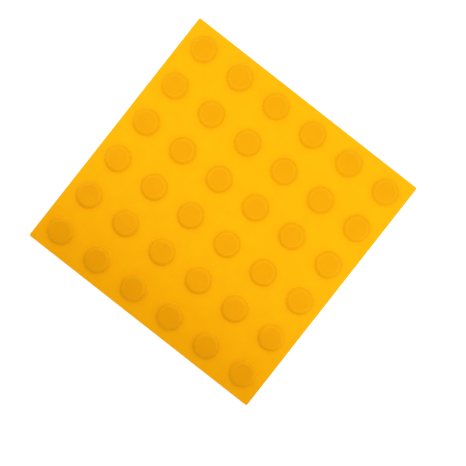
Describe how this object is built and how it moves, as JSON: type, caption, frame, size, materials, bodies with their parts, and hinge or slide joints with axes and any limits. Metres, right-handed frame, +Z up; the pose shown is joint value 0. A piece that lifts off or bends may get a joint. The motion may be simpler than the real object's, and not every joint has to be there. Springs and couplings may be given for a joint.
{
  "type": "tactile paving slab",
  "caption": "Square yellow rubber paving slab with a grid of raised, flat-topped studs, laid as a warning strip that is felt underfoot.",
  "frame": {"origin": "middle of the flat underside", "axes": "+Z up through the studs, X and Y along the sides"},
  "size_m": [0.3, 0.3, 0.007],
  "materials": {
    "yellow_rubber": "smooth satin, coloured through, as it left the mould"
  },
  "bodies": {
    "root": {"tactile_slab": "yellow_rubber"}
  },
  "joints": []
}
